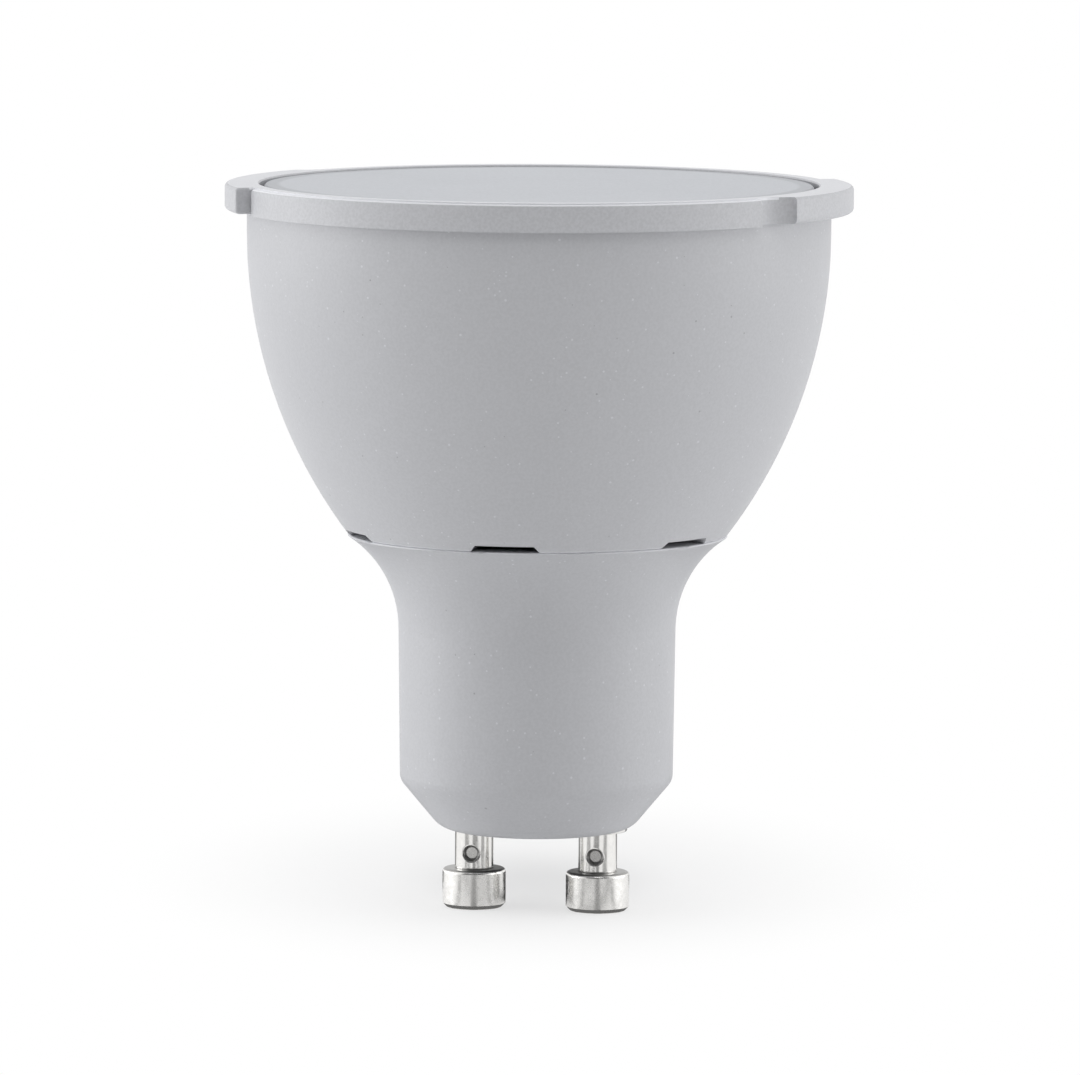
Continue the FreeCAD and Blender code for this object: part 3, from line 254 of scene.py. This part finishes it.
def crimp_dullness_and_shade(finish, height, outward):
    """Where a crimp is rougher and darkened with painted shade, on the pins' front: its wall more than its
    floor.
    """
    from_middle = finish.length(outward, finish.math("SUBTRACT", height, CRIMP_HEIGHT))
    floor = finish.step_under(from_middle, CRIMP_FLOOR)
    wall = finish.math("SUBTRACT", finish.step_under(from_middle, CRIMP_MOUTH), floor)
    dull_and_shaded = finish.math("ADD", finish.math("MULTIPLY", wall, 0.75), finish.math("MULTIPLY", floor, 0.35))
    return finish.math("MULTIPLY", dull_and_shaded, finish.step_under(finish.part("Y"), 0.0))


def turning_lines(finish, height, pitch):
    """Noise that runs round the pins in level lines."""
    lines = finish.node("TexNoise", Scale=1.0, Detail=3.0)
    lines.noise_dimensions = "1D"
    finish.feed(lines.inputs["W"], finish.math("MULTIPLY", height, 1 / pitch))
    return lines.outputs[0]


def plated_metal():
    """Nickel plate over turned brass: bright stems, satin heads, a painted dark reflection on the
    shoulders and painted shade in the rougher crimps.
    """
    finish = Finish("plated_metal", Metallic=1.0)
    height = finish.part("Z")
    outward = finish.math("SUBTRACT", finish.math("ABSOLUTE", finish.part("X")), PIN_OFFSET)
    stains = finish.noise(0.35 * MM, detail=5.0)
    spots = finish.specks(spacing=0.3 * MM, largest=0.06 * MM, share=0.2)
    satin = finish.step_under(height, HEAD_TOP - SHOULDER_DROP)
    shoulder = painted_shoulder_reflection(finish, height, outward)
    dull_and_shaded = finish.math("MAXIMUM", shoulder, crimp_dullness_and_shade(finish, height, outward))
    colour = finish.mix(stains, shade(NICKEL, 0.92), shade(NICKEL, 1.05))
    colour = finish.mix(spots, colour, shade(NICKEL, 0.75))
    # painted reflection and shade: shoulders and crimps are darkened nearly to black, while the same mask
    # also raises their roughness
    colour = finish.mix(dull_and_shaded, colour, shade(NICKEL, 0.12))
    finish.give("Base Color", colour)
    roughness = finish.range(stains, 0.3, 0.75, 0.12, 0.2)
    roughness = finish.math("ADD", roughness, finish.math("MULTIPLY", satin, 0.1))
    roughness = finish.math("ADD", roughness, finish.math("MULTIPLY", dull_and_shaded, 0.35))
    finish.give("Roughness", roughness)
    finish.bump(turning_lines(finish, height, 0.05 * MM), 0.0012 * MM)
    return finish


def plain_metal(name, colour, roughness, grain_size):
    """Bare metal with a fine grain that varies its roughness."""
    finish = Finish(name, Metallic=1.0)
    grain = finish.noise(grain_size, detail=4.0)
    finish.give("Base Color", finish.mix(grain, shade(colour, 0.88), shade(colour, 1.06)))
    finish.give("Roughness", finish.range(grain, *WIDE_NOISE_SPAN, roughness * 0.8, roughness * 1.3))
    finish.bump(grain, 0.004 * MM)
    return finish


def inner_plastic(name, colour, roughness, grain_size=0.4 * MM):
    """Moulded, lacquered or insulated surface of a small component."""
    finish = Finish(name)
    grain = finish.noise(grain_size, detail=3.0)
    finish.give("Base Color", finish.mix(grain, shade(colour, 0.85), shade(colour, 1.12)))
    finish.give("Roughness", finish.range(grain, *WIDE_NOISE_SPAN, roughness * 0.85, roughness * 1.15))
    finish.bump(grain, 0.005 * MM)
    return finish


def wound_wire(pitch):
    """Enamelled copper wire, laid turn by turn along the choke's axis, with painted shade in the grooves
    between turns.
    """
    finish = Finish("wound_wire", Metallic=1.0, Roughness=0.3)
    turns = finish.math("MULTIPLY", finish.part("Y"), 2 * math.pi / pitch)
    wave = finish.math("ADD", finish.math("MULTIPLY", finish.math("SINE", turns), 0.5), 0.5)
    # painted shade: darker in the grooves between the turns
    finish.give("Base Color", finish.mix(wave, shade(COPPER, 0.6), shade(COPPER, 1.0)))
    finish.bump(wave, 0.05 * MM)
    return finish


def dress(finish, *names):
    """Gives nodes of the lamp their material."""
    for name in names:
        nodes[name].data.materials.clear()
        nodes[name].data.materials.append(finish.material)


dress(shell_plastic(), "bowl_housing", "base_housing")
dress(ring_plastic(), "front_ring")
dress(frosted_lens(), "diffuser")
dress(plated_metal(), "contact_pin_left", "contact_pin_right")
dress(plain_metal("pressed_sheet", (0.75, 0.75, 0.76), 0.35, 0.6 * MM), "heat_spreader")
dress(plain_metal("zinc_plate", (0.62, 0.62, 0.62), 0.3, 0.3 * MM), "board_screws")
dress(inner_plastic("white_mask", (0.80, 0.80, 0.77), 0.4), "light_board")
dress(inner_plastic("phosphor", (0.88, 0.66, 0.14), 0.45), "led_packages")
dress(inner_plastic("green_mask", (0.03, 0.13, 0.05), 0.35, 0.8 * MM), "driver_board")
dress(inner_plastic("shrink_sleeve", (0.02, 0.02, 0.028), 0.3), "input_capacitor", "output_capacitor")
dress(inner_plastic("ferrite", (0.035, 0.035, 0.037), 0.6, 0.2 * MM), "choke_core")
dress(wound_wire(0.22 * MM), "choke_winding")
dress(inner_plastic("chip_case", (0.012, 0.012, 0.013), 0.5, 0.15 * MM),
      "bridge_rectifier", "driver_chip", "flyback_diode", "chip_resistors")
dress(inner_plastic("lacquer", (0.05, 0.16, 0.10), 0.35), "fusible_resistor")
dress(inner_plastic("red_insulation", (0.32, 0.02, 0.015), 0.4), "supply_lead_left", "light_lead_left")
dress(inner_plastic("black_insulation", (0.02, 0.02, 0.02), 0.4), "supply_lead_right", "light_lead_right")


# Studio

# The camera's place and aim, with angles in degrees, and its focal length and sensor in millimetres
CAMERA_AZIMUTH = 9.75
CAMERA_PITCH = 6.13
CAMERA_ROLL = 0.3
CAMERA_DISTANCE = 700 * MM
CAMERA_HEIGHT = 104.95 * MM
CAMERA_SIDE_STEP = 0.2 * MM
CAMERA_LENS = 295.05
CAMERA_SENSOR = 36.0

# The floor's reflectance, for light that bounces and as it is seen; the greyer seen value deepens the
# shadow oval as painted shade
FLOOR_HALF = 1.2
FLOOR_BOUNCE = 0.97
FLOOR_SEEN = 0.79

# The oval where the floor shows the lamp's real shadow, seen greyer as painted shade: how far its middle
# lies behind the lamp,
#  its inner and outer reach, how much narrower it is sideways, and the share of plain white in its middle
#  and at the core's end
SHADOW_BEHIND = 18 * MM
SHADOW_CORE = 20 * MM
SHADOW_EDGE = 54 * MM
SHADOW_SQUEEZE = 1.55
MIDDLE_GLOW = 0.08
CORE_GLOW = 0.58

# Sheets just above the floor, seen only in polished metal, that paint reflections: a dark disc under each
# head as a painted contact shadow, and wedges.
# A wedge has a name, its bearing from the camera towards the lamp's middle and half its angle in degrees,
# where it starts and ends from the pin's axis, and its level.
CARD_LIFT = 0.02 * MM
FOOT_CARD_RADIUS = HEAD_RADIUS + 0.35 * MM
FOOT_CARD_LEVEL = 0.15
FOOT_CARD_STEP = 8
PIN_CARDS = (
    ("front", 0, 8.5, 1 * MM, 75 * MM, 0.32),
    ("inner", 50, 6, 1 * MM, 75 * MM, 0.42),
    ("outer", -50, 6, 1 * MM, 75 * MM, 0.42),
    ("back", 145, 20, 1 * MM, 30 * MM, 0.03),
    ("far", 142, 16, 30 * MM, 90 * MM, 0.3),
)


def from_camera(aside, behind, height):
    """A place given by how far it lies to the camera's right, beyond the lamp and above the floor."""
    heading = math.radians(CAMERA_AZIMUTH)
    right = Vector((math.cos(heading), math.sin(heading), 0))
    away = Vector((-math.sin(heading), math.cos(heading), 0))
    return right * aside + away * behind + Vector((0, 0, height))


def on_circle(radius, degrees):
    """A flat vector of that length at an angle from X."""
    angle = math.radians(degrees)
    return Vector((math.cos(angle), math.sin(angle), 0)) * radius


def place_in_scene(name, data):
    made = bpy.data.objects.new(name, data)
    bpy.context.scene.collection.objects.link(made)
    return made


def plate(name, corners, finish):
    """A flat sheet that belongs to the studio."""
    mesh = bpy.data.meshes.new(name)
    mesh.from_pydata(corners, [], [range(len(corners))])
    mesh.materials.append(finish.material)
    made = place_in_scene(name, mesh)
    return made


def seen_directly(tree):
    """One for rays from the camera, a mirror or glass, and nought for light that bounces."""
    path = tree.nodes.new("ShaderNodeLightPath")
    seen = path.outputs["Is Camera Ray"]
    for name in ("Is Glossy Ray", "Is Transmission Ray"):
        either = tree.nodes.new("ShaderNodeMath")
        either.operation = "MAXIMUM"
        tree.links.new(seen, either.inputs[0])
        tree.links.new(path.outputs[name], either.inputs[1])
        seen = either.outputs[0]
    return seen


def floor_white():
    """Matt white that shows the lamp's real soft shadow near it, greyer there as painted shade, and turns
    plain white further out.
    """
    finish = Finish("floor_white")
    direct = seen_directly(finish.tree)
    aside = finish.math("MULTIPLY", finish.part("X"), SHADOW_SQUEEZE)
    behind = finish.math("SUBTRACT", finish.part("Y"), SHADOW_BEHIND)
    outward = finish.length(aside, behind)
    core = finish.range(outward, 0.0, SHADOW_CORE, MIDDLE_GLOW, CORE_GLOW)
    edge = finish.range(outward, SHADOW_CORE / 2, SHADOW_EDGE, 0.0, 1 - CORE_GLOW)
    share = finish.math("MULTIPLY", finish.math("ADD", core, edge), direct)
    matt = finish.node("BsdfDiffuse", Color=finish.range(direct, 0.0, 1.0, FLOOR_BOUNCE, FLOOR_SEEN))
    glow = finish.node("Emission", Color=WHITE, Strength=1.0)
    joined = finish.node("MixShader")
    for index, value in enumerate((share, matt.outputs[0], glow.outputs[0])):
        finish.feed(joined.inputs[index], value)
    finish.use_instead(joined.outputs[0])
    return finish


def make_floor():
    """The studio's floor, turned square to the camera."""
    half = FLOOR_HALF
    corners = [(-half, -half, 0), (half, -half, 0), (half, half, 0), (-half, half, 0)]
    floor = plate("floor", corners, floor_white())
    floor.rotation_euler.z = math.radians(CAMERA_AZIMUTH)


def make_world(level):
    """Even white surroundings: full white to the eye, and that level as light."""
    world = bpy.data.worlds.new("white_studio")
    world.use_nodes = True
    bpy.context.scene.world = world
    tree = world.node_tree
    background = tree.nodes["Background"]
    background.inputs["Color"].default_value = WHITE
    strength = tree.nodes.new("ShaderNodeMapRange")
    tree.links.new(seen_directly(tree), strength.inputs[0])
    strength.inputs["To Min"].default_value = level
    strength.inputs["To Max"].default_value = 1.0
    tree.links.new(strength.outputs[0], background.inputs["Strength"])


def make_front_screen(distance, half_width, height, level):
    """Dim screen on the camera's side, unseen by the camera, that shades the lamp's front."""
    corners = [from_camera(-half_width, -distance, 0), from_camera(half_width, -distance, 0)]
    corners += [corner + Vector((0, 0, height)) for corner in reversed(corners)]
    finish = Finish("front_screen", Base_Color=(level, level, level, 1.0), Roughness=1.0)
    screen = plate("front_screen", corners, finish)
    screen.visible_camera = False


def reflected_card(name, corners, level):
    """A grey sheet that shines by itself and shows only in polished metal."""
    finish = Finish(name)
    glow = finish.node("Emission", Color=(level, level, level, 1.0), Strength=1.0)
    finish.use_instead(glow.outputs[0])
    card = plate(name, corners, finish)
    card.visible_camera = False
    card.visible_diffuse = False
    card.visible_transmission = False
    card.visible_shadow = False


def make_pin_cards(side):
    """Grey wedges on the floor round one pin paint upright reflected streaks on it, and a dark disc a
    painted contact shadow as its foot line.
    """
    centre = Vector((PIN_OFFSET * side, 0, CARD_LIFT))
    for name, bearing, half_angle, start, end, level in PIN_CARDS:
        towards = CAMERA_AZIMUTH - 90 - bearing * side
        right = towards - half_angle
        left = towards + half_angle
        spots = ((start, right), (end, right), (end, left), (start, left))
        corners = [centre + on_circle(radius, degrees) for radius, degrees in spots]
        reflected_card(f"{name}_card_{side}", corners, level)
    over = centre + Vector((0, 0, CARD_LIFT))
    foot = [over + on_circle(FOOT_CARD_RADIUS, degrees) for degrees in range(0, 360, FOOT_CARD_STEP)]
    reflected_card(f"foot_card_{side}", foot, FOOT_CARD_LEVEL)


def soft_light(name, spot, width, height, watts):
    """A large softbox that faces the lamp."""
    light = bpy.data.lights.new(name, "AREA")
    light.shape = "RECTANGLE"
    light.size = width
    light.size_y = height
    light.energy = watts
    made = place_in_scene(name, light)
    made.location = spot
    aim = Vector((0, 0, seam_height)) - spot
    made.rotation_euler = aim.to_track_quat("-Z", "Y").to_euler()


def make_camera():
    """The photograph's view: a long lens, a little above the lamp and a little askew."""
    data = bpy.data.cameras.new("camera")
    data.lens = CAMERA_LENS
    data.sensor_width = CAMERA_SENSOR
    data.clip_start = 10 * MM
    camera = place_in_scene("camera", data)
    camera.location = from_camera(CAMERA_SIDE_STEP, -CAMERA_DISTANCE, CAMERA_HEIGHT)
    aim = Euler((math.radians(90 - CAMERA_PITCH), 0, math.radians(CAMERA_AZIMUTH))).to_quaternion()
    roll = Quaternion((0, 0, 1), math.radians(CAMERA_ROLL))
    camera.rotation_euler = (aim @ roll).to_euler()
    bpy.context.scene.camera = camera


make_floor()
make_world(level=1.03)
make_front_screen(distance=0.45, half_width=0.45, height=0.9, level=0.1)
make_pin_cards(side=-1)
make_pin_cards(side=1)
soft_light("left_strip", from_camera(-0.74, 0.1, 0.1), width=0.6, height=0.18, watts=2.15)
soft_light("right_strip", from_camera(0.74, 0.0, 0.1), width=0.6, height=0.18, watts=1.4)
soft_light("upper_softbox", from_camera(0.0, -0.36, 0.45), width=0.3, height=0.3, watts=0.57)
make_camera()
bpy.context.scene.view_settings.view_transform = "Standard"
